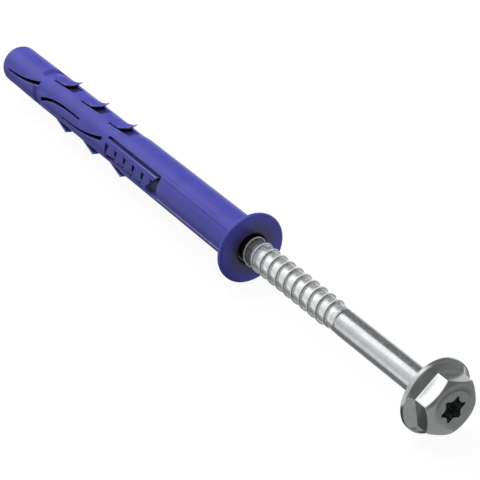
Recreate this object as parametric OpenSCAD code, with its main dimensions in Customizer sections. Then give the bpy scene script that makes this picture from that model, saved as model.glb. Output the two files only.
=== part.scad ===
// Frame fixing: a moulded nylon sleeve with a hexagon flange screw started in it.
// It lies on its side, on the rim of the collar and the rim of the screw's flange.
// The axis runs along X, the head is at +X, and the floor is at Z = 0.

/* [Sleeve] */
// Length from the collar's face to the nose
sleeve_len = 100; // [90:1:140]
// Shaft diameter under the collar, the size of the drilled hole
sleeve_d = 10; // [9.6:0.1:10.6]
// Diameter of the plain shaft at its front end
rear_d = 9.74; // [9.5:0.02:9.9]
// Diameter of the expansion zone
zone_d = 9.28; // [9.2:0.02:9.4]
// Diameter behind the rounded nose
nose_d = 9.14; // [8.9:0.02:9.2]
// Distance from the collar's face to the front end of the plain shaft
shaft_len = 44.5; // [43:0.1:46]
// Length of the cone between the plain shaft and the expansion zone
shaft_cone = 3; // [1:0.1:4]
// Distance from the collar's face to the nose's cylinder
nose_start = 94.4; // [94:0.1:95]
// Length over which the nose grows to the expansion zone
nose_taper = 8.4; // [7:0.1:9]
// Length of the rounded nose
dome_len = 2.4; // [2:0.1:4.5]
// Diameter of the flat at the very tip
tip_flat_d = 4.6; // [1:0.1:5]
// Collar diameter
collar_d = 15.8; // [14:0.1:18]
// Collar thickness
collar_t = 1.35; // [1:0.05:2]
// Rounding of the collar's rim
collar_edge = 0.55; // [0.2:0.05:0.65]
// Fillet between the collar and the shaft
neck_fillet = 0.5; // [0.2:0.05:0.8]
// Mouth diameter of the lead-in in the collar's face
mouth_d = 7.4; // [7:0.1:9.4]
// Depth of the lead-in
mouth_depth = 0.5; // [0.3:0.1:1.2]
// Bore of the expansion zone
core_d = 4; // [3:0.1:4.6]
// Solid length at the nose, ahead of the bore
nose_wall = 4; // [3:0.5:5]

/* [Expansion slots] */
// Distance from the collar's face to the squared end of the nose slot
slot_a_end = 82.2; // [81.5:0.1:82.6]
// Distance from the collar's face to the hooked end of the middle slot
slot_b_end = 80.4; // [80:0.1:80.8]
// Distance from the collar's face to the squared end of the rear slot
slot_c_end = 53.4; // [53:0.1:53.8]
// Length of the nose slot
slot_a_len = 13.4; // [12:0.1:13.8]
// Length of the two S slots
slot_s_len = 17; // [15:0.1:17.4]
// Slot width at the hooked end
slot_wide = 0.9; // [0.5:0.05:1]
// Slot width at the far end
slot_narrow = 0.45; // [0.3:0.05:0.5]
// Depth of the step behind the nose
step_depth = 0.5; // [0.2:0.05:0.6]
// Length of the step's sloping face
step_face = 0.8; // [0.3:0.1:1.2]
// Length over which the step runs out
step_run = 3.2; // [2:0.1:4]

/* [Barbs] */
// Barbs in a row
barb_count = 3; // [1:1:3]
// Distance between barbs in a row
barb_pitch = 12; // [11.5:0.1:12.5]
// Distance from the collar's face to the root of the first row's last barb
barb_start = 55; // [54.5:0.1:55.5]
// How far the second row is set on towards the collar
row_shift = 4.2; // [3:0.1:4.5]
// Length of the pocket under a barb
pocket_len = 8; // [6.5:0.1:8.5]
// Width of the pocket at the barb's root
pocket_w = 4; // [3.4:0.1:4.4]
// Width of the pocket at its far end
pocket_end_w = 2.9; // [2.2:0.1:3.4]
// Height of the pocket floor above the axis at the root
floor_root = 3.0; // [2.9:0.05:3.8]
// Height of the pocket floor above the axis at the far end
floor_end = 4.1; // [4:0.05:4.5]
// Length of the raised tongue in the first row
tongue_len_a = 3.6; // [3:0.1:4.5]
// Length of the raised tongue in the second row
tongue_len_b = 4.9; // [4.5:0.1:6]
// Width of the tongue
tongue_w = 4.9; // [4.4:0.1:5.3]
// Offset of the tongue's middle towards its outer corner
tongue_shift = 0.97; // [0.5:0.01:1.1]
// Height of the tongue's lip above the axis
tongue_h = 4.76; // [4.5:0.02:5]
// Thickness of the tongue at its lip
tongue_t = 0.42; // [0.3:0.02:0.5]
// How far the middle of the lip reaches past its corners
lip_bow = 0.5; // [0:0.1:0.8]
// How far the middle of the lip lies below its corners
lip_sag = 0.2; // [0:0.05:0.25]

/* [Toothed windows] */
// Distance from the collar's face to the near end of the window
window_start = 29.5; // [27:0.1:29.8]
// Length of the window
window_len = 22; // [21:0.1:22.3]
// Angle that the window takes on the shaft
window_span = 76; // [70:1:78]
// Radius of the window's floor
window_floor_r = 3.85; // [3.75:0.05:4]
// Teeth in the comb
tooth_count = 5; // [3:1:5]
// Pitch of the teeth
tooth_pitch = 3.7; // [3.4:0.05:3.8]
// Height of a tooth's crest above the axis
tooth_h = 4.65; // [4.5:0.05:4.7]
// Drop of a tooth from its crest to its tail
tooth_drop = 0.5; // [0.2:0.05:0.6]
// Width that each tooth gains on the one before
tooth_gain = 0.13; // [0:0.01:0.15]
// Reach of the first tooth's wide corner from the middle of the window
tooth_reach = 1.35; // [1.2:0.05:1.4]
// Width at which the notch between two teeth opens at the bank
notch_open = 1.5; // [1.2:0.1:2]
// Distance from the middle of the window to the bank's outer edge
bank_edge = 2.15; // [2.1:0.05:2.3]
// Height of the bank above the axis
bank_top = 4.2; // [4.1:0.05:4.3]
// Length of the bank past the last tooth
bank_tail = 2.3; // [1.8:0.1:2.5]
// Length over which the end of the comb slants
comb_slant = 4.6; // [3:0.1:5]

/* [Shaft ribs] */
// Height of the fine ribs on the shaft
rib_h = 0.12; // [0.06:0.02:0.2]
// Width of the flat parting rib
parting_w = 0.9; // [0.6:0.05:1.2]
// Width of the narrow rib
rib_w = 0.32; // [0.2:0.02:0.5]

/* [Screw] */
// Length under the head
screw_len = 105; // [100:1:106]
// Length that stands out of the collar
screw_out = 59.8; // [56:0.2:64]
// Thread diameter over the crests
thread_d = 6.2; // [6:0.05:6.5]
// Thread diameter at the root
root_d = 5.2; // [4.8:0.05:5.3]
// Thread pitch
thread_pitch = 2.75; // [2.5:0.05:3]
// Turn of the thread's start about the axis
thread_turn = 296; // [0:1:359]
// Width of the thread at its root
thread_foot = 0.45; // [0.4:0.05:1]
// Length of the tapered point
point_len = 6; // [5:0.5:8]
// Shank diameter
shank_d = 5.6; // [5.4:0.05:5.9]
// Length of the plain shank under the flange
shank_len = 27.5; // [24:0.5:30]
// Relief groove diameter
relief_d = 4.7; // [4.5:0.05:4.9]
// Relief groove width
relief_w = 0.8; // [0.5:0.1:1.2]

/* [Head] */
// Flange diameter
flange_d = 15.8; // [14:0.1:18]
// Flange thickness at the rim
rim_t = 1.05; // [0.8:0.05:1.4]
// Flange thickness at the hexagon
flange_t = 1.85; // [1.5:0.05:2.2]
// Hexagon width across flats
hex_af = 11.2; // [10:0.1:12]
// Head height from the flange's underside to the top
head_h = 5.8; // [5.2:0.1:7]
// Turn of the hexagon about the axis
hex_turn = 8; // [0:1:59]
// Diameter of the flat top
top_d = 8; // [7.4:0.1:9.6]
// Radius that rounds the top down to the hexagon's corners
crown_r = 3.5; // [3:0.1:5]
// Six-lobe recess width across the points
lobe_d = 5.6; // [5:0.05:5.7]
// Six-lobe recess width across the flutes
flute_d = 3.96; // [3.7:0.02:4]
// Recess depth
recess_depth = 3; // [2:0.1:3.6]

/* [Fit] */
// Radial clearance between the thread and the sleeve's bore
thread_clear = 0.1; // [0.05:0.05:0.3]
// Room between the screw's point and the end of the wide bore
point_room = 2; // [1:0.5:4]

/* [Hidden] */
$fn = 96;

// A small overlap that lets cuts pass through a face.
eps = 0.5;

// The sleeve's and the flange's round forms begin at the side, away from the line they rest on.
seam_turn = 90;

// Sleeve radii and stations. Along the axis the collar's face is at 0 and the nose at -sleeve_len.
shaft_r = sleeve_d / 2;
rear_r = rear_d / 2;
zone_r = zone_d / 2;
nose_r = nose_d / 2;
collar_r = collar_d / 2;
core_r = core_d / 2;
bore_r = thread_d / 2 + thread_clear;
point_z = screw_out - screw_len;
bore_end = point_z - point_room;
bore_cone = bore_r - core_r;
zone_z = -shaft_len - shaft_cone;

// Radius of the plain shaft at a station, where it tapers from the collar to its front end.
function shaft_r_at(z) = shaft_r + (rear_r - shaft_r) * (z + collar_t) / (collar_t - shaft_len);

// Turns about the axis, from the underside. The view from above the near side looks along 221.
barb_turn = 171;
window_turn = 259;
step_turns = [173, 272, 353, 92];
step_span = 58;
parting_turn = 218;
rib_turn = 282;

// The slots curve in the developed surface of the shaft, by a power of the way along.
slot_a_turns = [257, 230];
slot_b_turns = [240, 270];
slot_c_turns = [273, 243];
slot_inner_r = core_r / 2;
slot_outer_r = shaft_r + eps;

// The step starts this far ahead of the nose slot's end, and leaves a trace of its depth where it runs out.
step_ahead = 1.8;
step_trace = 0.05;

// A rib goes this far into the shaft, and ends this far from the window.
rib_sunk = 0.5;
rib_gap = 0.4;

// Screw stations, from the collar's face.
flange_r = flange_d / 2;
root_r = root_d / 2;
crest_h = thread_d / 2 - root_r;
shank_z = screw_out - shank_len;
thread_end = shank_z - relief_w - 0.9 * thread_pitch;
turn_steps = 24;
fade_steps = 18;

thread_steps = floor((thread_end - point_z) / thread_pitch * turn_steps);

// The point starts at a share of the rod's size, and the crest reaches its height sooner than the root.
point_share = 0.08;
crest_gain = 1.6;

// The plain neck before the relief groove, the groove's slopes, and the rounding of the flange's rim.
neck_over = 0.05;
neck_cut = 0.2;
groove_lead = 0.25;
rim_edge = 0.15;

// The recess: the round at its middle, its lobes and the rounds between them.
recess_edge = (lobe_d - flute_d) / 2 * 0.6;
lobe_r = 0.46;
lobe_reach = lobe_d / 2 - lobe_r;
flute_r = 1.1;

// The comb's feet go a little into the window's floor, and its cuts a little past its faces.
comb_sunk = 0.35;
comb_past = 0.2;

// The bank's width and the slope of its inner side. The teeth start a little inside the bank.
bank_w = 0.85;
bank_slope = 0.2;
bank_side = bank_w - bank_edge - 0.1;

// A tooth's lean, the fall of its outer side, and the notch's corner: its place and its distance.
tooth_lean = 0.9;
tooth_slope = 0.4;
notch_side = 0.75;
notch_gap = 0.5;
first_tooth = 0.5;

// A tongue's rows along its length and its points across it.
tongue_rows = 6;
tongue_cols = 8;
tongue_sunk = 0.5;
tongue_skin = 0.04;
root_thicker = 0.25;

// Rest: both rims touch the floor.
rest_tilt = asin((flange_r - collar_r) / (screw_out + rim_t / 2));
mid_x = (screw_out + head_h - sleeve_len) / 2;

module resting()
{
    translate([-mid_x, 0, collar_r])
        rotate([0, 90 - rest_tilt, 0])
            children();
}

// Places children at a turn about the axis: X is outwards, Y is along the turn, Z is the axis.
module at_turn(a)
{
    rotate([0, 0, a])
        children();
}

// A profile drawn as [height above the axis, station], with a width along the turn.
module side_profile(points, width)
{
    rotate([90, 0, 0])
        linear_extrude(height = width, center = true)
            polygon(points);
}

// A profile drawn as [place along the turn, station], from one height to another.
module top_profile(points, low, high)
{
    rotate([90, 0, 90])
        translate([0, 0, low])
            linear_extrude(height = high - low)
                polygon(points);
}

// Half section of the sleeve, as [radius, station].
function dome_points() =
    [for (a = [0:11.25:90])
        [tip_flat_d / 2 + (nose_r - tip_flat_d / 2) * sin(a), -sleeve_len + dome_len * (1 - cos(a))]];

function neck_points() =
    [for (a = [0:22.5:90])
        [shaft_r + neck_fillet * (1 - cos(a)), -collar_t - neck_fillet * (1 - sin(a))]];

function rim_points() = concat(
    [for (a = [-90:22.5:0])
        [collar_r - collar_edge + collar_edge * cos(a), -collar_t + collar_edge + collar_edge * sin(a)]],
    [for (a = [0:22.5:90])
        [collar_r - collar_edge + collar_edge * cos(a), -collar_edge + collar_edge * sin(a)]]);

module sleeve_turned()
{
    at_turn(seam_turn)
        rotate_extrude()
            polygon(concat(
                [[0, -sleeve_len]],
                dome_points(),
                [[nose_r, -nose_start], [zone_r, nose_taper - nose_start],
                 [zone_r, zone_z], [rear_r, -shaft_len]],
                neck_points(),
                rim_points(),
                [[mouth_d / 2, 0], [bore_r, -mouth_depth], [bore_r, bore_end],
                 [core_r, bore_end - bore_cone], [core_r, nose_wall + core_r - sleeve_len],
                 [0, nose_wall - sleeve_len]]));
}

// A curved slot through the wall. It lies along the axis at its far end and hooks at the other.
// stations: the hooked end and the far end; turns: the far end's and the hook's.
module curved_slot(hook_z, far_z, turns, power)
{
    steps = 14;
    function along(i) = far_z + (hook_z - far_z) * i / steps;
    function turn(i) = turns[0] + (turns[1] - turns[0]) * pow(i / steps, power);
    function half(i) = (slot_narrow + (slot_wide - slot_narrow) * i / steps) / 2;
    function corner(i, r, side) =
        [r * cos(turn(i)) - side * half(i) * sin(turn(i)),
         r * sin(turn(i)) + side * half(i) * cos(turn(i)),
         along(i)];
    up = hook_z > far_z;
    points = [for (i = [0:steps])
        each [corner(i, slot_inner_r, -1), corner(i, slot_outer_r, -1),
              corner(i, slot_outer_r, 1), corner(i, slot_inner_r, 1)]];
    sides = [for (i = [0:steps - 1])
        for (k = [0:3])
            let (a = 4 * i + k, b = 4 * i + (k + 1) % 4)
                each [[a, a + 4, b], [b, a + 4, b + 4]]];
    last = 4 * steps;
    caps = [[0, 1, 2], [0, 2, 3], [last, last + 2, last + 1], [last, last + 3, last + 2]];
    faces = concat(sides, caps);
    polyhedron(points, up ? faces : [for (f = faces) [f[0], f[2], f[1]]]);
}

module expansion_slots()
{
    for (half_turn = [0, 180])
        at_turn(half_turn)
        {
            curved_slot(-slot_a_end, -slot_a_end - slot_a_len, slot_a_turns, 2);
            curved_slot(-slot_b_end, -slot_b_end + slot_s_len, slot_b_turns, 3.5);
            curved_slot(-slot_c_end, -slot_c_end - slot_s_len, slot_c_turns, 2.4);
        }
}

// The shallow steps behind the nose, cut back by a wedge that runs out along the zone.
module nose_steps()
{
    step_z = -slot_a_end - step_ahead;
    for (a = step_turns)
        at_turn(a - step_span / 2)
            rotate_extrude(angle = step_span)
                polygon([[zone_r - step_depth, step_z + step_face],
                         [zone_r, step_z],
                         [zone_r + eps, step_z],
                         [zone_r + eps, step_z + step_face + step_run],
                         [zone_r - step_trace, step_z + step_face + step_run]]);
}

// The pocket under a barb: its floor rises from the barb's root to the far end, and it narrows.
module barb_pocket()
{
    intersection()
    {
        side_profile([[floor_root, 0], [floor_end, pocket_len], [shaft_r + 2, pocket_len], [shaft_r + 2, 0]],
                     2 * shaft_r);
        top_profile([[-pocket_w / 2, 0], [pocket_w / 2, 0],
                     [pocket_end_w / 2, pocket_len], [-pocket_end_w / 2, pocket_len]],
                    floor_root - eps, shaft_r + 1);
    }
}

// A tongue that leaves the zone as its round surface and ends as a lip with a raised corner.
// The lip bows forward and sags in the middle, by a parabola over its width.
module barb_tongue(length, power)
{
    rows = tongue_rows;
    cols = tongue_cols;
    function lift(i) = pow(max(0, i - 1) / (rows - 1), power);
    function across(j) = tongue_w * (j / cols - 0.5) - tongue_shift;
    function bow(j) = 1 - pow(2 * j / cols - 1, 2);
    function station(i, j) = i == 0 ? -tongue_sunk : (length + lip_bow * bow(j)) * (i - 1) / (rows - 1);
    function skin_h(i, j) =
        (1 - lift(i)) * sqrt(pow(zone_r - tongue_skin, 2) - pow(across(j), 2))
        + lift(i) * (tongue_h - lip_sag * bow(j));
    function thick(i) = tongue_t + (1 - lift(i)) * root_thicker;
    top = [for (i = [0:rows]) for (j = [0:cols]) [skin_h(i, j), across(j), station(i, j)]];
    under = [for (i = [0:rows]) for (j = [0:cols]) [skin_h(i, j) - thick(i), across(j), station(i, j)]];
    n = cols + 1;
    m = n * (rows + 1);
    skins = [for (i = [0:rows - 1]) for (j = [0:cols - 1])
        let (a = i * n + j, b = a + 1, c = a + n, d = c + 1)
            each [[a, c, b], [b, c, d], [m + a, m + b, m + c], [m + b, m + d, m + c]]];
    edges = [for (i = [0:rows - 1])
        let (a = i * n, c = a + n, b = a + cols, d = b + n)
            each [[a, m + a, c], [c, m + a, m + c], [b, d, m + b], [d, m + d, m + b]]];
    ends = [for (j = [0:cols - 1])
        let (a = j, b = j + 1, c = rows * n + j, d = c + 1)
            each [[a, b, m + a], [b, m + b, m + a], [c, m + c, d], [d, m + c, m + d]]];
    polyhedron(concat(top, under), concat(skins, edges, ends));
}

// Places children at each barb of a row: the first row above, and the second below it.
module each_barb(row)
{
    for (i = [0:barb_count - 1])
        at_turn(barb_turn + 180 * row)
            translate([0, 0, row * row_shift - barb_start - i * barb_pitch])
                children();
}

module window_pocket()
{
    rotate([0, 0, -window_span / 2])
        rotate_extrude(angle = window_span)
            translate([window_floor_r, -window_start - window_len])
                square([shaft_r, window_len]);
}

// One tooth of the comb: its crest and its widest corner face the nose, and its tail falls away.
// It leans, so that the notch before the next tooth opens towards the bank.
module comb_tooth(corner)
{
    tail = tooth_h - tooth_drop;
    foot = window_floor_r - comb_sunk;
    len = tooth_pitch;
    lean = tooth_lean;
    intersection()
    {
        top_profile([[bank_side, lean], [corner, 0], [corner - tooth_slope, len],
                     [notch_side, len - notch_gap], [bank_side, len + lean - notch_open]],
                    foot, tooth_h + comb_past);
        side_profile([[foot, -comb_past], [tooth_h, -comb_past], [tail, len + lean], [foot, len + lean]],
                     4 * corner);
    }
}

// The comb stands beside a bank, and both end on a slant before the collar's end of the window.
module window_comb()
{
    foot = window_floor_r - comb_sunk;
    bank_len = tooth_pitch * tooth_count + bank_tail;
    side = bank_edge + comb_past;
    translate([0, 0, -window_start - window_len])
        intersection()
        {
            union()
            {
                translate([0, 0, first_tooth])
                    for (i = [0:tooth_count - 1])
                        translate([0, 0, i * tooth_pitch])
                            comb_tooth(tooth_reach + i * tooth_gain);
                translate([0, 0, -comb_past])
                    linear_extrude(height = bank_len)
                        polygon([[foot, -bank_edge], [bank_top, -bank_edge],
                                 [bank_top, bank_w - bank_edge], [foot, bank_w + bank_slope - bank_edge]]);
            }
            top_profile([[-side, -eps], [side, -eps], [side, bank_len - comb_slant], [-side, bank_len]],
                        foot - comb_past, tooth_h + comb_past);
        }
}

// A rib along the shaft from the window to the collar.
module shaft_rib(width)
{
    z1 = -window_start + rib_gap;
    z2 = -collar_t / 2;
    low = shaft_r_at(z1) - rib_sunk;
    side_profile([[low, z1], [shaft_r_at(z1) + rib_h, z1], [shaft_r_at(z2) + rib_h, z2], [low, z2]], width);
}

module nylon_sleeve()
{
    color([0.31, 0.31, 0.69])
        resting()
        {
            difference()
            {
                sleeve_turned();
                expansion_slots();
                nose_steps();
                for (row = [0, 1])
                    each_barb(row)
                        barb_pocket();
                for (half_turn = [0, 180])
                    at_turn(window_turn + half_turn)
                        window_pocket();
            }
            each_barb(0)
                barb_tongue(tongue_len_a, 1.5);
            each_barb(1)
                barb_tongue(tongue_len_b, 1);
            for (half_turn = [0, 180])
            {
                at_turn(window_turn + half_turn)
                    window_comb();
                at_turn(parting_turn + half_turn)
                    shaft_rib(parting_w);
                at_turn(rib_turn + half_turn)
                    shaft_rib(rib_w);
            }
        }
}

// The threaded rod as one helical strip with four points in a pitch: the two feet of the thread,
// its crest and the middle of the root. It tapers to the point and fades out at the shank.
module threaded_rod()
{
    n = turn_steps;
    count = thread_steps;
    foot = thread_foot / 2;
    offsets = [-foot, 0, foot, (thread_pitch - 2 * foot) / 2 + foot];
    heights = [0, 1, 0, 0];
    function grow(z) = min(1, max(point_share, (z - point_z) / point_len));
    function fade_out(i) = min(1, max(0, (count - i) / fade_steps));
    function crest(z) = crest_h * min(1, crest_gain * grow(z));
    function station(i, j) = point_z + foot + thread_pitch * i / n + offsets[j];
    function radius(i, j) = grow(station(i, j)) * root_r + crest(station(i, j)) * heights[j] * fade_out(i);
    function place(i, j) =
        let (turn = thread_turn + 360 * i / n)
            [radius(i, j) * cos(turn), radius(i, j) * sin(turn), station(i, j)];
    function quad(a, b, c, d) = [[a, b, c], [a, c, d]];
    strip = [for (i = [0:count]) for (j = [0:3]) place(i, j)];
    low = [0, 0, point_z];
    high = [0, 0, station(count, 0) - thread_pitch / 4];
    c0 = 4 * (count + 1);
    c1 = c0 + 1;
    bands = [for (i = [0:count - 1]) for (j = [0:2])
        each quad(4 * i + j, 4 * i + j + 1, 4 * i + j + 5, 4 * i + j + 4)];
    joins = [for (i = [0:count - n - 1])
        each quad(4 * i + 3, 4 * (i + n), 4 * (i + n + 1), 4 * i + 7)];
    first = concat([for (i = [0:n]) 4 * i], [3, 2, 1]);
    last = concat([for (i = [count - n:count]) 4 * i + 3], [4 * count + 2, 4 * count + 1, 4 * count]);
    start_cap = [for (k = [0:len(first) - 1]) [c0, first[(k + 1) % len(first)], first[k]]];
    end_cap = [for (k = [0:len(last) - 1]) [c1, last[k], last[(k + 1) % len(last)]]];
    polyhedron(concat(strip, [low, high]),
               [for (f = concat(bands, joins, start_cap, end_cap)) [f[0], f[2], f[1]]]);
}

// The turned shank with its relief groove, up to the underside of the flange.
module shank()
{
    neck_r = root_r + neck_over;
    neck_z = thread_end - 0.6 * thread_pitch;
    top_z = screw_out + eps;
    rotate_extrude()
        polygon([[0, neck_z], [neck_r - neck_cut, neck_z], [neck_r, neck_z + neck_cut],
                 [neck_r, shank_z - relief_w], [relief_d / 2, shank_z - relief_w + groove_lead],
                 [relief_d / 2, shank_z - groove_lead], [shank_d / 2, shank_z], [shank_d / 2, top_z],
                 [0, top_z]]);
}

// The flange is flat below, with a rim and a cone that rises to the hexagon.
module flange()
{
    edge = rim_edge;
    cone_t = flange_t + rim_edge;
    translate([0, 0, screw_out])
        at_turn(seam_turn)
            rotate_extrude()
                polygon([[0, 0], [flange_r - edge, 0], [flange_r, edge], [flange_r, rim_t - edge],
                         [flange_r - edge, rim_t], [hex_af / 2, cone_t], [0, cone_t]]);
}

// The hexagon's top is rounded down to its corners, so the flats have arched upper edges.
module crowned_hexagon()
{
    across_corners = hex_af / cos(30);
    crown = [for (a = [0:7.5:90]) [top_d / 2 + crown_r * sin(a), head_h - crown_r * (1 - cos(a))]];
    translate([0, 0, screw_out])
        intersection()
        {
            translate([0, 0, rim_t])
                rotate([0, 0, hex_turn])
                    cylinder(h = head_h - rim_t, d = across_corners, $fn = 6);
            rotate_extrude()
                polygon(concat([[0, head_h]], crown, [[top_d / 2 + crown_r, 0], [0, 0]]));
        }
}

// The recess has its lobes over the middles of the flats.
module six_lobe_recess()
{
    translate([0, 0, screw_out + head_h - recess_depth])
        rotate([0, 0, hex_turn + 30])
            linear_extrude(height = recess_depth + eps)
                difference()
                {
                    union()
                    {
                        circle(d = flute_d + recess_edge);
                        for (k = [0:5])
                            rotate(60 * k)
                            {
                                translate([lobe_reach, 0])
                                    circle(r = lobe_r);
                                translate([0, -lobe_r])
                                    square([lobe_reach, 2 * lobe_r]);
                            }
                    }
                    for (k = [0:5])
                        rotate(60 * k + 30)
                            translate([flute_d / 2 + flute_r, 0])
                                circle(r = flute_r);
                }
}

module hex_flange_screw()
{
    color([0.72, 0.74, 0.74])
        resting()
        {
            threaded_rod();
            shank();
            difference()
            {
                union()
                {
                    flange();
                    crowned_hexagon();
                }
                six_lobe_recess();
            }
        }
}

nylon_sleeve();
hex_flange_screw();
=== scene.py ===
# %% [markdown]
# A frame fixing in two pieces: a moulded nylon sleeve, and a hexagon flange screw started in it.
# The CAD model is loaded first. It fixes every size and place, so each new surface below is worked
# out in its frame: the axis of the fixing runs along X, and the collar and the flange rest on Z = 0.

import math

import bpy
import numpy as np
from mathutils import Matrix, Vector


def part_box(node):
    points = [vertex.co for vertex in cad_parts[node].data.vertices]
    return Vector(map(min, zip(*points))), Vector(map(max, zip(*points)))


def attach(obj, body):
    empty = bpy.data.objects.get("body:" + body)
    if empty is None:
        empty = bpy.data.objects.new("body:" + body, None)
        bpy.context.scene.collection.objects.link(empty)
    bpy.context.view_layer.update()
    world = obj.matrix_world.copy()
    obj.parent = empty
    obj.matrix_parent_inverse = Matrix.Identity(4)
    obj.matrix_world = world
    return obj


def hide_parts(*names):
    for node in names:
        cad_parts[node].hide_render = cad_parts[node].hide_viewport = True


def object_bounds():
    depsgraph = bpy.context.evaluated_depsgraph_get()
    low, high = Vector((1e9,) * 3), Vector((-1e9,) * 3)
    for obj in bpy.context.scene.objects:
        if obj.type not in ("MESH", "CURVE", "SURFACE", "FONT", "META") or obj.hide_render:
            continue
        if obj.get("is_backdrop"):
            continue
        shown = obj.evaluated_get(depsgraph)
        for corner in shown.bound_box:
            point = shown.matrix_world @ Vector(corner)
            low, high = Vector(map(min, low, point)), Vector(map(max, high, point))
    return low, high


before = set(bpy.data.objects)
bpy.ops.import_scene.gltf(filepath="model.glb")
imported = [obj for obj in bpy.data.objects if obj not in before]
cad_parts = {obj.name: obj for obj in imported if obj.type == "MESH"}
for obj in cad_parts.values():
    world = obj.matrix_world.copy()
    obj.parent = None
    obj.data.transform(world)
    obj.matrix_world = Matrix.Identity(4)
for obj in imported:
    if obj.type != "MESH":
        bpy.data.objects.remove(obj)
cad_low, cad_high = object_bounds()
print("nodes", sorted(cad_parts))
print("box in mm", [round((b - a) * 1000, 2) for a, b in zip(cad_low, cad_high)])

# %% [markdown]
# The sizes are in millimetres and repeat those of the CAD model. Places along the axis are measured
# from the collar's face: the nose is at minus 100 and the head at plus 65.6. Two places come from the
# frame itself: where the collar's face is, and how high the axis lies.

# %% Sizes
SLEEVE_LEN, COLLAR_R, COLLAR_T = 100.0, 7.9, 1.35
SCREW_OUT, SCREW_POINT = 59.8, -45.2  # the flange's underside and the point
FLANGE_T, HEAD_H = 1.85, 5.8
TOP_R, CROWN_R = 4.0, 3.5  # the head's flat top and the arc that falls from it
THREAD_PITCH, THREAD_LEAD, THREAD_TURN, THREAD_STOP = 2.75, 0.5, 242.0, 31.5
RIB_TURN = 192.0  # the narrow rib's place round the shaft, in degrees

MM = 0.001
sleeve_low, sleeve_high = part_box("nylon_sleeve")
FACE_X = sleeve_high.x / MM
AXIS_Z = (sleeve_low.z + sleeve_high.z) / 2 / MM


def place(points):
    """Points on the fixing, in millimetres from the collar's face and the axis, as metres in the frame."""
    return (np.asarray(points, float) + [FACE_X, 0.0, AXIS_Z]) * MM


print("collar's face at x", round(FACE_X, 3), "axis at z", round(AXIS_Z, 3))

# %% [markdown]
# The camera stands where the photographer did: above the near side, looking along the fixing from
# the head's end. A long lens keeps the nose and the head at nearly the same scale.

# %% Camera
CAM_AZIMUTH, CAM_ELEVATION, CAM_DISTANCE = 56.108, 32.474, 0.43035
CAM_AIM = Vector((0.012756, 0.0, 0.007773))
CAM_LENS, CAM_SENSOR = 156.21, 36.0


def direction(azimuth, elevation):
    """The unit vector towards a viewer: azimuth turns from -Y towards +X, and elevation lifts it."""
    a, e = math.radians(azimuth), math.radians(elevation)
    return Vector((math.sin(a) * math.cos(e), -math.cos(a) * math.cos(e), math.sin(e)))


def new_object(name, data):
    """An object of a mesh, a lamp or a camera, at the origin and linked to the scene."""
    made = bpy.data.objects.new(name, data)
    bpy.context.scene.collection.objects.link(made)
    return made


def aimed(obj, towards):
    """Turns a camera or a lamp so that it looks towards a point."""
    obj.rotation_mode = "QUATERNION"
    obj.rotation_quaternion = (towards - obj.location).to_track_quat("-Z", "Y")
    return obj


camera = new_object("camera", bpy.data.cameras.new("camera"))
camera.data.lens, camera.data.sensor_width = CAM_LENS, CAM_SENSOR
camera.location = CAM_AIM + direction(CAM_AZIMUTH, CAM_ELEVATION) * CAM_DISTANCE
aimed(camera, CAM_AIM)
bpy.context.scene.camera = camera
bpy.context.scene.view_settings.view_transform = "Standard"
print("camera at", [round(c, 4) for c in camera.location])

# %% [markdown]
# Shader maths is easier to read as an expression than as a chain of nodes. A `Value` wraps a socket,
# and each operator adds the Math node for it. Any other node comes from `Graph.node`. The methods
# after it give masks between two limits, noise, a place round the axis, and layers of colour.


# %% Shader maths
class Value:
    """A socket whose operators add Math nodes to its graph."""

    def __init__(self, graph, socket):
        self.graph, self.socket = graph, socket

    def __add__(self, other):
        return self.graph.maths("ADD", self, other)

    def __sub__(self, other):
        return self.graph.maths("SUBTRACT", self, other)

    def __rsub__(self, other):
        return self.graph.maths("SUBTRACT", other, self)

    def __mul__(self, other):
        return self.graph.maths("MULTIPLY", self, other)

    def __pow__(self, other):
        return self.graph.maths("POWER", self, other)

    __radd__, __rmul__ = __add__, __mul__


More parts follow.
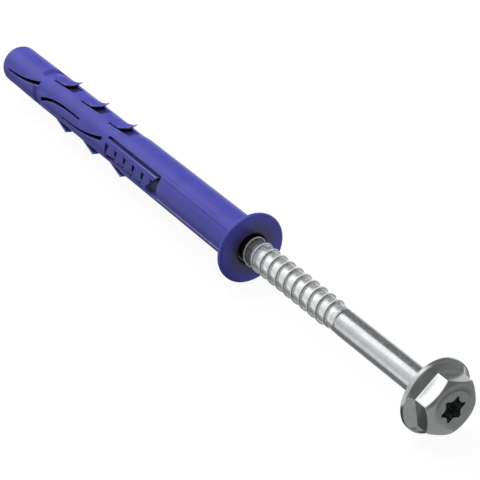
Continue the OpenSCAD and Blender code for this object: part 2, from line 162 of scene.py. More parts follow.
class Graph:
    """A material's or a world's node tree, emptied first."""

    def __init__(self, owner):
        owner.use_nodes = True
        self.tree = owner.node_tree
        self.tree.nodes.clear()

    def node(self, kind, settings=None, *inputs, out=0, **named):
        """Adds a node, fills its inputs by place (None passes one over) or by name, and gives an output."""
        made = self.tree.nodes.new(kind)
        for key, value in (settings or {}).items():
            setattr(made, key, value)
        for key, value in [*enumerate(inputs), *named.items()]:
            if value is None:
                continue
            socket = made.inputs[key if isinstance(key, int) else key.replace("_", " ")]
            if isinstance(value, Value):
                self.tree.links.new(value.socket, socket)
            else:
                socket.default_value = value
        return Value(self, made.outputs[out]) if made.outputs else made

    def maths(self, operation, *inputs, clamp=False):
        return self.node("ShaderNodeMath", {"operation": operation, "use_clamp": clamp}, *inputs)

    def rises(self, value, low, high):
        """Goes smoothly from 0 to 1 as a value goes from low to high."""
        smooth = {"interpolation_type": "SMOOTHSTEP"}
        return self.node("ShaderNodeMapRange", smooth, value, low, high, 0.0, 1.0)

    def falls(self, value, low, high):
        """The reverse, from 1 to 0."""
        return 1.0 - self.rises(value, low, high)

    def noise(self, vector, scale, detail=2.0, roughness=0.5, stretch=None):
        """A noise in the object's space, which stretch may scale first."""
        if stretch:
            vector = self.node("ShaderNodeMapping", None, vector, Scale=stretch)
        return self.node("ShaderNodeTexNoise", None, vector, None, scale, detail, roughness)

    def round_the_axis(self):
        """A point, its place from the collar's face and distance from the axis in mm, and its turn."""
        here = self.node("ShaderNodeTexCoord", None, out="Object")
        x, y, z = (self.node("ShaderNodeSeparateXYZ", None, here, out=n) * (1.0 / MM) for n in range(3))
        x, z = x - FACE_X, z - AXIS_Z
        return here, x, (y * y + z * z) ** 0.5, self.maths("ARCTAN2", z, y)

    def blend(self, factor, a, b):
        """A colour between a and b, which are the seventh and eighth inputs of a Mix node."""
        a, b = (colour if isinstance(colour, Value) else (*colour, 1.0) for colour in (a, b))
        return self.node("ShaderNodeMix", {"data_type": "RGBA"}, factor, *[None] * 5, a, b, out=2)

    def layered(self, colour, *layers):
        """A colour with others laid over it in turn, each given as its share and its colour."""
        for share, over in layers:
            colour = self.blend(share, colour, over)
        return colour


# %% [markdown]
# The set is a pale floor and a white world. Both look white, also in reflections, but give less light
# than that, so that the shaded faces of the collar and the head stay dark. Three soft boxes give the
# light: a small one over the nose's end, which the metal mirrors as its bright band, and two that
# throw no reflection, a wide one beside it and one behind the object.

# %% Floor, world and lamps
WORLD_LIGHT = 0.22
FLOOR_HALF, FLOOR_SHARE, FLOOR_WHITE = 3.0, 0.85, 1.08
PAPER_LIT, PAPER_SEEN = (0.4, 0.4, 0.4), (0.95, 0.95, 0.95)
WHITE = (1.0, 1.0, 1.0, 1.0)


def seen(graph):
    """1 for rays of the camera, reflections and clear things, 0 for the others."""
    camera_ray, glossy, clear = (graph.node("ShaderNodeLightPath", None, out=f"Is {kind} Ray")
                                 for kind in ("Camera", "Glossy", "Transmission"))
    return graph.maths("ADD", camera_ray + glossy, clear, clamp=True)


def floor_material():
    """Pale paper, seen mostly as a white of its own, so that only a soft shadow shows."""
    material = bpy.data.materials.new("pale_paper")
    graph = Graph(material)
    looked_at = seen(graph)
    paper = graph.node("ShaderNodeBsdfDiffuse", None, graph.blend(looked_at, PAPER_LIT, PAPER_SEEN))
    white = graph.node("ShaderNodeEmission", None, WHITE, FLOOR_WHITE)
    mixed = graph.node("ShaderNodeMixShader", None, looked_at * FLOOR_SHARE, paper, white)
    graph.node("ShaderNodeOutputMaterial", None, mixed)
    return material


def flat_face(name, corners, material):
    """One face with four corners, in metres."""
    mesh = bpy.data.meshes.new(name)
    mesh.from_pydata(corners, [], [(0, 1, 2, 3)])
    mesh.materials.append(material)
    return new_object(name, mesh)


def soft_box(name, azimuth, elevation, distance, size, power, mirrored=True):
    """A lamp that looks at the middle of the object, with or without a reflection."""
    data = bpy.data.lights.new(name, "AREA")
    data.shape, data.energy = "RECTANGLE", power
    data.size, data.size_y = size
    lamp = new_object(name, data)
    lamp.location = CAM_AIM + direction(azimuth, elevation) * distance
    lamp.visible_glossy = mirrored
    return aimed(lamp, CAM_AIM)


world = bpy.data.worlds.new("world")
bpy.context.scene.world = world
graph = Graph(world)
strength = seen(graph) * (1.0 - WORLD_LIGHT) + WORLD_LIGHT
graph.node("ShaderNodeOutputWorld", None, graph.node("ShaderNodeBackground", None, WHITE, strength))

h = FLOOR_HALF
flat_face("floor", [(-h, -h, 0), (h, -h, 0), (h, h, 0), (-h, h, 0)], floor_material())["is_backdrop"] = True

soft_box("key", -72.0, 42.5, distance=0.8, size=(0.4, 0.6), power=0.5)
soft_box("wide", -84.0, 53.0, distance=0.9, size=(1.0, 1.0), power=6.6, mirrored=False)
soft_box("far_side", 165.0, 28.0, distance=0.9, size=(0.8, 0.8), power=2.2, mirrored=False)
print("lamps", len(bpy.data.lights))

# %% [markdown]
# Metal looks like metal when it mirrors dark things as well as bright ones. Ten grey cards stand
# in for the unlit parts of the room: three make a wall behind the object, one stands before the head,
# one on the near side, and five lie on the floor close by, where the lower half of the shank and the
# head look. Only reflections show them, and they throw no shadow.

# %% Grey cards
CARD_TINT = (1.0, 1.02, 1.03)
ON_FLOOR = 0.0003  # a hair above the floor
WALL_FOOT, WALL_KNEE, WALL_TOP = (0.5, 0.0), (0.47, 0.09), (0.2, 0.9)


def grey_card(name, corners, grey):
    """A card seen by reflections alone."""
    material = bpy.data.materials.new(name)
    graph = Graph(material)
    colour = (*(grey * tint for tint in CARD_TINT), 1.0)
    graph.node("ShaderNodeOutputMaterial", None, graph.node("ShaderNodeEmission", None, colour, 1.0))
    card = flat_face(name, corners, material)
    card.visible_camera = card.visible_diffuse = card.visible_shadow = False
    card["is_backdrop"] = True


def long_card(name, x_from, x_to, foot_shade, top, grey):
    """A card from one place along X to another, between two level edges given by their Y and Z."""
    grey_card(name, [(x_from, *foot_shade), (x_to, *foot_shade), (x_to, *top), (x_from, *top)], grey)


def floor_card(name, x_from, x_to, y_from, y_to, grey):
    long_card(name, x_from, x_to, (y_from, ON_FLOOR), (y_to, ON_FLOOR), grey)


long_card("card_behind", -1.6, 0.6, WALL_KNEE, WALL_TOP, 0.25)
long_card("card_behind_foot", -1.6, 0.1, WALL_FOOT, WALL_KNEE, 0.5)
long_card("card_behind_end", 0.1, 0.6, WALL_FOOT, WALL_KNEE, 0.25)
grey_card("card_camera", [(0.6, 0.5, 0.0), (0.6, -0.4, 0.0), (0.6, -0.4, 0.7), (0.6, 0.5, 0.7)], 0.21)
floor_card("card_below", -0.12, 0.066, -0.016, -0.002, 0.25)
floor_card("card_under_head", 0.066, 0.0785, -0.03, -0.002, 0.1)
floor_card("card_ahead", 0.0785, 0.6, 0.002, 0.47, 0.34)
floor_card("card_near_head", 0.0785, 0.12, -0.03, 0.002, 0.5)
floor_card("card_past_head", 0.12, 0.6, -0.2, 0.002, 0.18)
long_card("card_front", 0.1, -1.8, (-0.7, 0.0), (-0.7, 0.45), 0.8)

# %% [markdown]
# The sleeve's finish is moulded nylon: one deep blue-violet all through, softly glossy, with the
# faint cloudiness and a fine skin texture. A thin rounded edge is painted a paler blue as a painted
# highlight, and a tight corner a darker blue as painted shade. Both follow an attribute named bend,
# which the sleeve gets below: it is above zero on an outward edge and below zero in a corner. The
# walls of the cuts get painted shade, the collar's face gets painted shade towards the screw, the
# narrow rib has a painted highlight along its top, and the bore is painted near black as painted
# shade. Most masks change between two limits in millimetres.

# %% Nylon
BLUES = (0.068, 0.070, 0.46), (0.080, 0.082, 0.52)
EDGE_HIGHLIGHT_BLUE, CORNER_SHADE_BLUE, WALL_SHADE_BLUE = (0.46, 0.46, 0.78), (0.018, 0.018, 0.10), (0.018, 0.018, 0.08)
FACE_SHADE_BLUE, RIB_HIGHLIGHT_BLUE, BORE_SHADE_BLUE = (0.060, 0.048, 0.16), (0.5, 0.5, 0.8), (0.002, 0.002, 0.004)
EDGE_BEND, CORNER_BEND = (0.05, 0.12), (-0.11, -0.04)
TIP_END, EDGES_END = (-97.0, -96.5), (-3.0, -2.0)
SKIN_R, SKIN_MOUTH_X = (3.75, 4.4), (-1.5, -1.0)
TIP_LIFT = 4.5  # how much nearer to the axis the skin reaches in the solid tip
FACE_START, FACE_SHADE_R = (-0.9, -0.5), (3.9, 7.0)
RIB_HIGHLIGHT_HALF, RIB_HIGHLIGHT_START, RIB_HIGHLIGHT_END = (0.14, 0.24), (-29.2, -28.8), (-1.7, -1.4)
BORE_EDGE_R = 3.3, 3.6


def nylon_material():
    material = bpy.data.materials.new("blue_nylon")
    graph = Graph(material)
    here, x, radius, turn = graph.round_the_axis()
    bend = graph.node("ShaderNodeAttribute", {"attribute_name": "bend"}, out="Fac")
    cloud = graph.noise(here, 160.0, 3.0)
    grain = graph.noise(here, 2600.0)
    # Painted highlight: a paler blue on outward edges, where bend is high.
    edge = graph.rises(bend, *EDGE_BEND) * graph.falls(x, *EDGES_END)
    # Painted shade: a darker blue in tight corners, where bend is low.
    corner = graph.falls(bend, *CORNER_BEND)
    tip = graph.falls(x, *TIP_END)
    # Painted shade: 1 - skin darkens the nylon below the outer skin, in the walls of the cuts; skin also sets
    # the coat.
    skin = graph.rises(radius + graph.rises(x, *SKIN_MOUTH_X) + tip * TIP_LIFT, *SKIN_R)
    # Painted shade on the collar's face, darkest next to the screw.
    face = graph.rises(x, *FACE_START) * graph.falls(radius, *FACE_SHADE_R)
    # Painted highlight along the top of the narrow rib.
    off_rib = graph.maths("ABSOLUTE", graph.maths("SINE", turn - math.radians(RIB_TURN)) * radius)
    rib_highlight = graph.falls(off_rib, *RIB_HIGHLIGHT_HALF) * graph.rises(x, *RIB_HIGHLIGHT_START) * graph.falls(x, *RIB_HIGHLIGHT_END)
    # Painted shade: the bore is painted near black, and its metallic setting keeps its reflection dark too.
    bore = graph.falls(radius, *BORE_EDGE_R) * (1.0 - tip)
    colour = graph.layered(graph.blend(graph.rises(cloud, 0.3, 0.7), *BLUES),
                           (edge * 0.8, EDGE_HIGHLIGHT_BLUE), (corner * 0.85, CORNER_SHADE_BLUE), (1.0 - skin, WALL_SHADE_BLUE),
                           (face, FACE_SHADE_BLUE), (rib_highlight * 0.8, RIB_HIGHLIGHT_BLUE), (bore, BORE_SHADE_BLUE))
    bump = graph.node("ShaderNodeBump", None, Strength=0.25, Distance=0.00004, Height=grain + cloud * 0.6)
    surface = graph.node("ShaderNodeBsdfPrincipled", None, Base_Color=colour, Metallic=bore * 0.9,
                         Roughness=grain * 0.14 + 0.42 + bore * 0.4, IOR=1.5, Specular_IOR_Level=0.25,
                         Sheen_Weight=0.06, Sheen_Roughness=0.3, Coat_Weight=skin * 0.2, Coat_Roughness=0.2,
                         Normal=bump)
    graph.node("ShaderNodeOutputMaterial", None, surface)
    return material


nylon = nylon_material()
print(nylon.name, "nodes:", len(nylon.node_tree.nodes))

# %% [markdown]
# The zinc differs from place to place, so it needs masks for the thread and the head. A point's offset
# from the nearest ridge is its place along the axis less the share of a pitch that its turn has used
# up. On the head, a point belongs to a flat when it lies below the crown's arc and above the flange.

# %% Masks for the thread and the head
RIDGE_NEAR, RIDGE_FAR, CREST_TOP_R = (-0.3, -0.2), (0.16, 0.24), (3.02, 3.07)
FOOT_LINE, FOOT_LINE_R = (0.08, 0.12), (2.70, 2.80)
UNDER_CROWN, OVER_FLANGE, FACING_UP = (-0.2, -0.05), (0.0, 0.25), (0.36, 0.39)
RING_IN, RING_OUT, RING_UP = (-0.1, 0.0), (0.1, 1.2), (0.0, 0.8)
RECESS_X, RECESS_EDGE_R = (-1.9, -0.1), (2.8, 3.0)


def thread_masks(graph, x, radius, turn, thread):
    """The ridge's crest, painted pale as a painted highlight, and a line of painted shade at the foot of its
    side towards the head.
    """
    lap = (x - (SCREW_POINT + THREAD_LEAD)) * (1.0 / THREAD_PITCH)
    lap = lap - (turn - math.radians(THREAD_TURN)) * (0.5 / math.pi)
    offset = (graph.maths("FRACT", lap + 0.5) - 0.5) * THREAD_PITCH
    beside = graph.rises(offset, *RIDGE_NEAR) * graph.falls(offset, *RIDGE_FAR) * thread
    # Painted highlight: the crest's pale colour stands for the glint along it.
    crest_highlight = beside * graph.rises(radius, *CREST_TOP_R)
    # Painted shade: a dark line at the foot of the ridge's side towards the head.
    return crest_highlight, graph.rises(offset, *FOOT_LINE) * beside * (1.0 - crest_highlight) * graph.rises(radius, *FOOT_LINE_R)


def head_masks(graph, x, radius, upwards, head):
    """The upper flats' painted light, the arc of painted shade round the flat top, and the recess's painted
    shade.
    """
    over_flange, under_top, past_top = x - (SCREW_OUT + FLANGE_T), x - (SCREW_OUT + HEAD_H), radius - TOP_R
    out = graph.maths("MAXIMUM", past_top, 0.0)
    over_crown = under_top + CROWN_R - (CROWN_R**2 - out * out) ** 0.5
    flat = graph.falls(over_crown, *UNDER_CROWN) * graph.rises(over_flange, *OVER_FLANGE)
    # Painted shade: a soft dark arc round the flat top, on its upper side.
    ring = graph.rises(past_top, *RING_IN) * graph.falls(past_top, *RING_OUT) * head * (1.0 - flat)
    # Painted shade: the recess is painted darker with depth.
    recess_shade = head * graph.falls(under_top, *RECESS_X) * graph.falls(radius, *RECESS_EDGE_R)
    return flat * graph.rises(upwards, *FACING_UP), ring * graph.rises(upwards, *RING_UP), recess_shade


# %% [markdown]
# The screw is cold-headed steel with a thin bright zinc plate. Up close it is mottled: small
# dull and bright patches, fine lines along the shank where the wire was drawn, and flecks and pits on
# the upper side. The rolled thread is brighter, and its crests are painted pale as a painted highlight,
# with a line of painted shade at the foot of each ridge. Its first root, in the collar's shade, is
# painted darker as painted shade, and what lies deeper is painted near black. The head is duller, but
# the flats on its upper side are painted paler as painted light, an arc of painted shade follows the
# flat top's edge, and its recess is painted darker with depth as painted shade.

# %% Zinc plate
SHANK_GREYS, THREAD_GREYS = [(0.50, 0.52, 0.53), (0.60, 0.62, 0.63)], [(0.78, 0.80, 0.80), (0.86, 0.88, 0.88)]
HEAD_GREYS, LIT_FLAT_GREYS = [(0.43, 0.45, 0.44), (0.48, 0.50, 0.49)], [(0.86, 0.88, 0.88), (0.92, 0.93, 0.93)]
SHADED_GREYS = [(0.06, 0.063, 0.067), (0.32, 0.33, 0.34)]
PIT_GREY, FOOT_SHADE_GREY, CREST_HIGHLIGHT_GREY = (0.16, 0.165, 0.17), (0.08, 0.083, 0.086), (0.94, 0.95, 0.95)
BURIED_SHADE_GREY, RING_SHADE_GREY, RECESS_SHADE_GREY = (0.008, 0.008, 0.012), (0.16, 0.17, 0.16), (0.05, 0.056, 0.058)
SHADED_END, BURIED_END = (3.0, 3.7), (0.6, 1.4)
HEAD_BLUR, THREAD_BLUR = 0.2, 0.6


def zinc_material():
    material = bpy.data.materials.new("zinc_plated_steel")
    graph = Graph(material)
    here, x, radius, turn = graph.round_the_axis()
    upwards = graph.maths("SINE", turn)
    cloud = graph.noise(here, 330.0, 3.0, 0.6)
    spots = graph.noise(here, 2200.0, 2.0, 0.6)
    specks = graph.noise(here, 3200.0, 3.0, 0.7, stretch=(1.5, 0.5, 0.5))
    drawn = graph.noise(here, 2400.0, stretch=(0.12, 1.0, 1.0))
    tone = graph.rises(cloud * 0.5 + spots * 0.3 + drawn * 0.2, 0.36, 0.64)

    head = graph.rises(x, SCREW_OUT - HEAD_BLUR, SCREW_OUT + HEAD_BLUR)
    thread = graph.falls(x, THREAD_STOP - THREAD_BLUR, THREAD_STOP)
    upper = graph.rises(upwards, 0.93 - thread * 0.28, 0.98 - thread * 0.1) * (1.0 - head)
    crest_highlight, foot_shade = thread_masks(graph, x, radius, turn, thread)
    lit, ring, recess_shade = head_masks(graph, x, radius, upwards, head)
    # Painted shade: the first root, in the collar's shade, is painted darker and less metallic.
    shaded = graph.falls(x, *SHADED_END) * (1.0 - crest_highlight)
    # Painted shade: what lies inside the sleeve is painted near black.
    buried_shade = graph.falls(x, *BURIED_END) * (1.0 - crest_highlight)
    fleck = graph.rises(specks, 0.52, 0.60) * upper * (0.3 + thread * 0.3)
    pit = graph.falls(specks, 0.36, 0.48) * upper * 0.55
    wear_and_crest_highlight = graph.maths("MAXIMUM", crest_highlight * 0.8, fleck + thread * 0.2)

    # Painted light: the flats facing upwards take the paler greys.
    head_grey = graph.blend(lit, graph.blend(tone, *HEAD_GREYS), graph.blend(cloud, *LIT_FLAT_GREYS))
    colour = graph.layered(graph.blend(tone, *SHANK_GREYS), (head, head_grey),
                           (thread, graph.blend(tone, *THREAD_GREYS)), (pit, PIT_GREY),
                           (foot_shade * 0.75, FOOT_SHADE_GREY), (crest_highlight, CREST_HIGHLIGHT_GREY),
                           (shaded * 0.9, graph.blend(graph.rises(specks, 0.48, 0.58), *SHADED_GREYS)),
                           (buried_shade, BURIED_SHADE_GREY), (ring * 0.6, RING_SHADE_GREY),
                           (recess_shade * (0.4 + spots * 0.6), RECESS_SHADE_GREY))
    mottle = (spots * 0.6 + drawn * 0.15 + cloud * 0.3) * (1.0 - head * 0.85)
    bump = graph.node("ShaderNodeBump", None, Strength=0.5, Distance=0.00005,
                      Height=mottle + specks * upper * 0.5)
    plate = graph.node("ShaderNodeBsdfPrincipled", None, Base_Color=colour,
                       Metallic=1.0 - graph.maths("MAXIMUM", wear_and_crest_highlight, shaded * 0.8 + recess_shade * 0.3), Normal=bump,
                       Roughness=tone * -0.06 + 0.24 + thread * 0.05 + wear_and_crest_highlight * 0.1 + shaded * 0.15)
    graph.node("ShaderNodeOutputMaterial", None, plate)
    return material


zinc = zinc_material()
print(zinc.name, "nodes:", len(zinc.node_tree.nodes))

# %% [markdown]
# The sleeve is the hard piece. It has slots right through its wall, barbs that lift off it and combs
# of teeth in windows, and all its edges are softly rounded by the mould. A grid of points laid over
# the shaft can't hold an undercut, so the sleeve is worked out as a distance field instead: at each
# point of a block of space, how far the nylon is, negative inside it. A cut or an addition is then a
# maximum or a minimum of two fields, and a smooth maximum gives the edge its radius. The block is in
# cylinder coordinates (along, turn, radius), with its lines closest where the detail is.


# %% The block of space
def lines(*stretches):
    """Grid lines from stretches of (start, end, spacing)."""
    return np.concatenate([np.arange(a, b, s) for a, b, s in stretches]).astype(np.float32)


TURNS = 320
xs = lines((-100.3, -97.4, 0.12), (-97.3, -84.6, 0.2), (-84.5, -28.6, 0.11), (-28.5, -2.3, 0.5),
           (-2.1, 0.2, 0.06))
ts = (np.arange(TURNS) * (2 * math.pi / TURNS)).astype(np.float32)
rs = lines((0.0, 1.7, 0.4), (1.7, 6.15, 0.1), (6.2, 8.2, 0.15))
X, R = xs[:, None, None], rs[None, None, :]
print("block of", len(xs), "x", len(ts), "x", len(rs), "points")


def smooth_max(a, b, k):
    """The larger of two fields, with the corner rounded over a width of k."""
    near = np.maximum(k - np.abs(a - b), 0.0) / k
    return np.maximum(a, b) + near * near * (k / 4)


def smooth_min(a, b, k):
    """The smaller of two fields, with the corner filled over a width of k."""
    return -smooth_max(-a, -b, k)


def rounded(a, b, radius):
    """The inside of both a and b, with a round edge of that radius where they meet."""
    p, q = a + radius, b + radius
    return np.minimum(np.maximum(p, q), 0.0) + np.hypot(np.maximum(p, 0.0), np.maximum(q, 0.0)) - radius


def outside(x, low, high):
    """How far x lies outside a stretch, negative within it."""
    return np.abs(x - (low + high) / 2) - (high - low) / 2


def polygon_field(px, py, corners):
    """The distance from points to a polygon, negative inside: the nearest edge, signed by crossings."""
    px, py = np.broadcast_arrays(px, py)
    nearest = np.full(px.shape, np.inf, np.float32)
    sign = np.ones(px.shape, np.float32)
    for (ax, ay), (bx, by) in zip(corners, [corners[-1], *corners[:-1]]):
        ex, ey, wx, wy = bx - ax, by - ay, px - ax, py - ay
        t = np.clip((wx * ex + wy * ey) / (ex * ex + ey * ey), 0.0, 1.0)
        nearest = np.minimum(nearest, (wx - ex * t) ** 2 + (wy - ey * t) ** 2)
        above, below, left = py >= ay, py < by, ex * wy > ey * wx
        sign = np.where((above & below & left) | ~(above | below | left), -sign, sign)
    return sign * np.sqrt(nearest)


# %% [markdown]
# First the turned form: a rounded nose, the slightly thinner expansion zone, a cone up to the plain
# shaft, the collar, and the bore. The bore is wide enough for the screw as far as its point, then
# narrow for it to cut into. The field is the distance to that outline, and the collar is blended on
# with a fillet.

# %% Turned form
NOSE_R, ZONE_R, REAR_R, SHAFT_R = 4.57, 4.64, 4.87, 5.0
OUTLINE_X = [-SLEEVE_LEN, -94.4, -86.0, -47.5, -44.5, -COLLAR_T, 0.0]
OUTLINE_R = [NOSE_R, NOSE_R, ZONE_R, ZONE_R, REAR_R, SHAFT_R, SHAFT_R]
NOSE_ROUND, COLLAR_ROUND, MOUTH_ROUND, NECK_FILLET = 2.35, 0.55, 0.15, 0.8
BORE_R, CORE_R, MOUTH_R = 3.2, 2.0, 3.7
BORE_X = [-96.0, -94.0, -48.4, -47.2, -0.5, 0.0]
BORE_PROFILE = [0.0, CORE_R, CORE_R, BORE_R, BORE_R, MOUTH_R]
MARGIN = 0.6  # how far past its own stretch a shape still changes the field


def outline(x):
    """The sleeve's outer radius, straight between the points of its outline."""
    return np.interp(x, OUTLINE_X, OUTLINE_R).astype(np.float32)


shaft = rounded(R - outline(xs)[:, None, None], -SLEEVE_LEN - X, NOSE_ROUND)
shaft = np.maximum(shaft, X + COLLAR_T / 2)
collar = rounded(R - COLLAR_R, np.abs(X + COLLAR_T / 2) - COLLAR_T / 2, COLLAR_ROUND)
bore = np.maximum(R - np.interp(xs, BORE_X, BORE_PROFILE)[:, None, None], BORE_X[0] - X)
turned = smooth_max(smooth_min(shaft, collar, NECK_FILLET), -bore, MOUTH_ROUND)
field = np.repeat(turned, TURNS, axis=1).astype(np.float32)


def combine(x_low, x_high, turn, reach, shape, cut, k):
    """Cuts a shape from the field, or adds it, within a stretch of the axis and a reach of degrees either
    side of a turn. The shape is a field of (along, up, across), with up the height towards that turn."""
    i = np.nonzero((xs > x_low - MARGIN) & (xs < x_high + MARGIN))[0]
    away = (ts - math.radians(turn) + math.pi) % (2 * math.pi) - math.pi
    j = np.nonzero(np.abs(away) < math.radians(reach))[0]
    angle = away[j][None, :, None]
    part = slice(i[0], i[-1] + 1)
    shape_field = shape(xs[part, None, None], R * np.cos(angle), R * np.sin(angle)).astype(np.float32)
    old = field[part, j, :]
    field[part, j, :] = smooth_max(old, -shape_field, k) if cut else smooth_min(old, shape_field, k)


print("turned form ready,", round(float((field < 0).mean()), 3), "of the block is nylon")

# %% [markdown]
# Three curved slots on each half let the zone spread. Each lies along the axis at its far end and
# hooks round at the other: its turn grows with a power of the way along. The slot's field is the
# distance to that curve, less half its width, so its walls are parallel.

# %% Expansion slots
SLOT_WIDE, SLOT_NARROW, SLOT_FLOOR_R, SLOT_REACH = 0.9, 0.45, 1.0, 69
CUT_ROUND = 0.14
SLOTS = [(-82.2, -95.6, 167, 140, 2.0), (-80.4, -63.4, 150, 180, 3.5), (-53.4, -70.4, 183, 153, 2.4)]


def slot(hook, far, turn_far, turn_hook, power):
    """Cuts a slot and its half-turn copy. Along s, from 0 at the far end to 1 at the hook, the turn grows
    by a swing times s to a power, and the width grows too."""
    low, high = min(hook, far), max(hook, far)

    def shape(x, up, across):
        s = np.clip((x - far) / (hook - far), 0.0, 1.0)
        swing = math.radians(turn_hook - turn_far)
        slope = swing * power * s ** (power - 1) / (hook - far) * ZONE_R
        half = (SLOT_NARROW + (SLOT_WIDE - SLOT_NARROW) * s) / 2
        radius = np.hypot(up, across)
        beside = np.abs(radius * np.sin(np.arctan2(across, up) - swing * s**power)) / np.sqrt(1 + slope**2)
        return np.maximum(np.maximum(beside - half, outside(x, low, high)), SLOT_FLOOR_R - radius)

    for half_turn in (0, 180):
        combine(low, high, turn_far + half_turn, SLOT_REACH, shape, cut=True, k=CUT_ROUND)


for each in SLOTS:
    slot(*each)
print("slots cut:", 2 * len(SLOTS))

# %% [markdown]
# Behind the nose the surface steps down at four places and runs out again. Each step is a shallow
# cut whose depth follows the axis: a short sloping face, then a long run back to the surface.

# %% Steps behind the nose
STEP_X, STEP_DEPTHS = [-84.0, -83.2, -80.0], [0.0, 0.5, 0.03]
STEP_SPAN, STEP_TURNS, STEP_REACH, STEP_ROUND = 58.0, (83, 182, 263, 2), 46, 0.1


def nose_step(x, up, across):
    """All that lies over a floor, which is the zone's radius less a depth, within a span and a length."""
    radius = np.hypot(up, across)
    depth = np.interp(x.ravel(), STEP_X, STEP_DEPTHS)[:, None, None]
    beside = (np.abs(np.arctan2(across, up)) - math.radians(STEP_SPAN / 2)) * ZONE_R
    return np.maximum(np.maximum(ZONE_R - depth - radius, beside), outside(x, STEP_X[0], STEP_X[-1]))


for turn in STEP_TURNS:
    combine(STEP_X[0], STEP_X[-1], turn, STEP_REACH, nose_step, cut=True, k=STEP_ROUND)
print("steps cut:", len(STEP_TURNS))

# %% [markdown]
# A barb is a tongue that leaves the zone as its round surface and ends as a flat lip, so one corner
# stands well clear of the shaft. Under it lies a pocket whose floor rises to the surface. A parabola
# over the tongue's width bows its lip forward and lets its middle sag. It is smoothly added, so a
# fillet grows where it joins.

# %% Barbs
BARBS, BARB_PITCH, BARB_START, ROW_SHIFT, BARB_TURN = 3, 12.0, -55.0, 4.2, 81
POCKET_LEN, POCKET_HALF, POCKET_END_HALF, POCKET_REACH = 8.0, 2.0, 1.45, 58
FLOOR_ROOT, FLOOR_END = 3.0, 4.1
TONGUE_H, TONGUE_T, TONGUE_HALF, TONGUE_SHIFT = 4.76, 0.42, 2.45, 0.97
TONGUE_BACK, TONGUE_INSET, TONGUE_REACH, TONGUE_FILLET = 0.5, 0.04, 62, 0.12
ROOT_MORE, TIP_LESS, TIP_FROM, TIP_OVER = 0.25, 0.14, 1, 2.4  # thicker at the root, thinner at a corner
LIP_BOW, LIP_SAG = 0.5, 0.2
TONGUES = [(3.6, 1.5), (4.9, 1.0)]


def pocket(root):
    """A wedge over a floor that rises along it, between walls that draw in, within its length."""
    def shape(x, up, across):
        s = (x - root) / POCKET_LEN
        low = FLOOR_ROOT + (FLOOR_END - FLOOR_ROOT) * s - up
        beside = np.abs(across) - POCKET_HALF - (POCKET_END_HALF - POCKET_HALF) * s
        return np.maximum(np.maximum(low, beside), (np.abs(s - 0.5) - 0.5) * POCKET_LEN)

    return shape


def tongue(root, length, power):
    """What lies under the tongue's top and over its underside, within its width and its bowed length. The
    lift is the way along to a power: it carries the top from the round skin to the flat lip."""
    def shape(x, up, across):
        bow = 1 - ((across + TONGUE_SHIFT) / TONGUE_HALF) ** 2
        reach = length + LIP_BOW * bow
        lift = np.clip((x - root) / reach, 0.0, 1.0) ** power
        skin = np.sqrt(np.maximum((ZONE_R - TONGUE_INSET) ** 2 - across**2, 0.1))
        top = (1 - lift) * skin + lift * (TONGUE_H - LIP_SAG * bow)
        thinner = TIP_LESS * lift * np.clip((-across - TIP_FROM) / TIP_OVER, 0.0, 1.0)
        thick = TONGUE_T + (1 - lift) * ROOT_MORE - thinner
        beside = np.abs(across + TONGUE_SHIFT) - TONGUE_HALF
        along = np.maximum(x - root - reach, root - TONGUE_BACK - x)
        return np.maximum(np.maximum(up - top, top - thick - up), np.maximum(beside, along))

    return shape


for row, (length, power) in enumerate(TONGUES):
    turn = BARB_TURN + 180 * row
    for n in range(BARBS):
        root = BARB_START - n * BARB_PITCH + row * ROW_SHIFT
        combine(root, root + POCKET_LEN, turn, POCKET_REACH, pocket(root), cut=True, k=CUT_ROUND)
        combine(root - TONGUE_BACK, root + length + LIP_BOW, turn, TONGUE_REACH,
                tongue(root, length, power), cut=False, k=TONGUE_FILLET)
print("barbs raised:", BARBS * len(TONGUES))

# %% [markdown]
# Each side has a window with a comb in it: a bank along the upper wall, and five leaning teeth that
# rise away from it, each a little longer than the last. Both end on a slant before the collar's end
# of the window. The teeth are polygons seen from above, cut down by a sloping top.

# %% Toothed windows
WINDOW_TURN, WINDOW_SPAN, WINDOW_START, WINDOW_LEN, WINDOW_FLOOR = 169, 76.0, -29.5, 22.0, 3.85
WINDOW_CORNER, WINDOW_ROUND, WINDOW_REACH = 0.6, 0.12, 50
TEETH, TOOTH_PITCH, FIRST_TOOTH = 5, 3.7, 0.5
TOOTH_H, TOOTH_DROP, TOOTH_GAIN, FIRST_CORNER, TOOTH_ROUND = 4.42, 0.12, 0.13, 1.35, 0.3
TOOTH_LEN = TOOTH_PITCH + 0.9
BANK_EDGE, BANK_W, BANK_TOP, BANK_TAIL, BANK_BATTER, BANK_BACK = 2.15, 1.35, 4.3, 2.3, 0.2, 0.2
SLANT, SLANT_HALF, SLANT_COSINE = 4.6, 2.35, 0.71
BANK_GAP, BANK_REACH, BANK_FILLET, TOOTH_REACH, TOOTH_FILLET = 1.0, 45, 0.08, 36, 0.06
WINDOW_END = WINDOW_START - WINDOW_LEN
BANK_LEN = TOOTH_PITCH * TEETH + BANK_TAIL
FOOT = WINDOW_FLOOR - 0.35  # the comb starts inside the wall


def window(x, up, across):
    """What lies over the window's floor, within its span and length, with round corners."""
    beside = (np.abs(np.arctan2(across, up)) - math.radians(WINDOW_SPAN / 2)) * SHAFT_R
    edge = rounded(beside, outside(x, WINDOW_END, WINDOW_START), WINDOW_CORNER)
    return np.maximum(WINDOW_FLOOR - np.hypot(up, across), edge)


def past_slant(x, across):
    """How far a point lies past the slanted end of the comb."""
    return (x - WINDOW_END - BANK_LEN + SLANT * (across + SLANT_HALF) / (2 * SLANT_HALF)) * SLANT_COSINE


